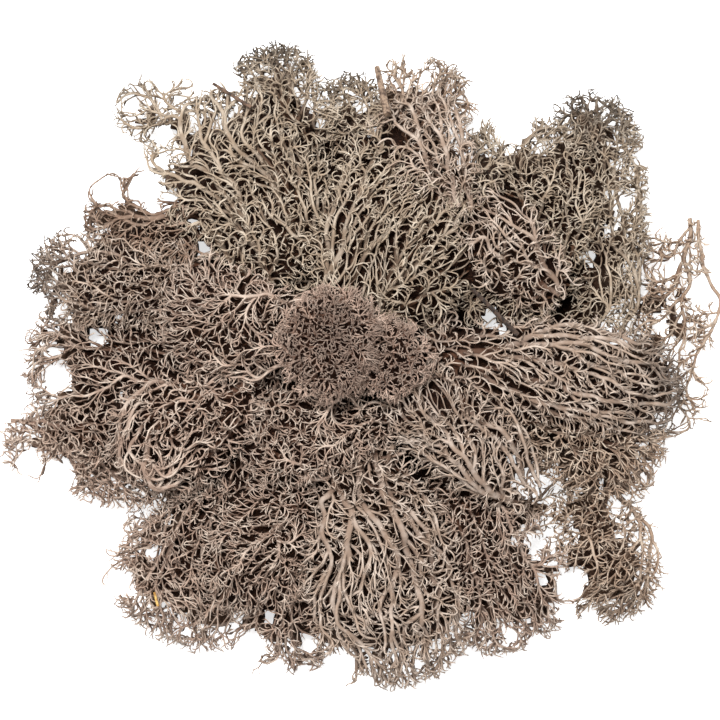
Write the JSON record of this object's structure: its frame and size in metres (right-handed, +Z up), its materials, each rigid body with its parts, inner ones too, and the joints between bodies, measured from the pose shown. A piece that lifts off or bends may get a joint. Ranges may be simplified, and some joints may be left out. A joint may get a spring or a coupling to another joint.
{
  "type": "reindeer lichen clump",
  "caption": "Loose, tangled, flat-based heap of dried and dyed taupe-grey reindeer lichen tufts, with loose bits of stick and straw caught in it.",
  "frame": {"origin": "middle of the heap's outline on the surface it lies on", "axes": "+Z up; +X to the right and +Y to the back of the heap as seen from above"},
  "size_m": [0.2064, 0.1868, 0.0592],
  "materials": {
    "lichen_olive": "dry, matt, dyed olive-beige lichen",
    "lichen_lilac": "dry, matt, dyed lilac-grey lichen",
    "lichen_rose": "dry, matt, dyed pinkish taupe lichen",
    "lichen_tan": "dry, matt, dyed tan lichen",
    "lichen_brown": "dry, matt, dark brown inner stems and shaded tufts",
    "stick_bark": "dry dark brown bark",
    "straw": "dry yellow straw"
  },
  "bodies": {
    "root": {"tuft_summit": "lichen_rose", "tuft_summit_small": "lichen_rose", "fan_back_right": "lichen_olive", "fan_back_left": "lichen_olive", "knob_back_left": "lichen_olive", "knob_back": "lichen_olive", "knob_back_right": "lichen_tan", "fan_back_grey": "lichen_lilac", "net_back_right": "lichen_olive", "stems_back_right": "lichen_lilac", "plume_far_right": "lichen_olive", "lace_right": "lichen_tan", "plume_right": "lichen_lilac", "net_right": "lichen_tan", "leg_front_right": "lichen_tan", "stems_centre_right": "lichen_lilac", "net_centre": "lichen_rose", "fan_front": "lichen_lilac", "tuft_front_right": "lichen_rose", "lobe_front_left": "lichen_rose", "tuft_left_long": "lichen_rose", "net_left": "lichen_rose", "plume_back_left": "lichen_lilac", "lobe_back_left": "lichen_brown", "loop_left": "lichen_rose", "lace_front": "lichen_rose", "net_front_left": "lichen_rose", "tuft_left_centre": "lichen_rose", "spur_back_left": "lichen_olive", "bed_centre": "lichen_brown", "bed_left": "lichen_brown", "bed_right": "lichen_brown", "bed_back": "lichen_brown", "bed_front": "lichen_brown", "stick_back_left": "stick_bark", "stub_back": "lichen_brown", "twig_right": "stick_bark", "straw_front_left": "straw"}
  },
  "joints": []
}
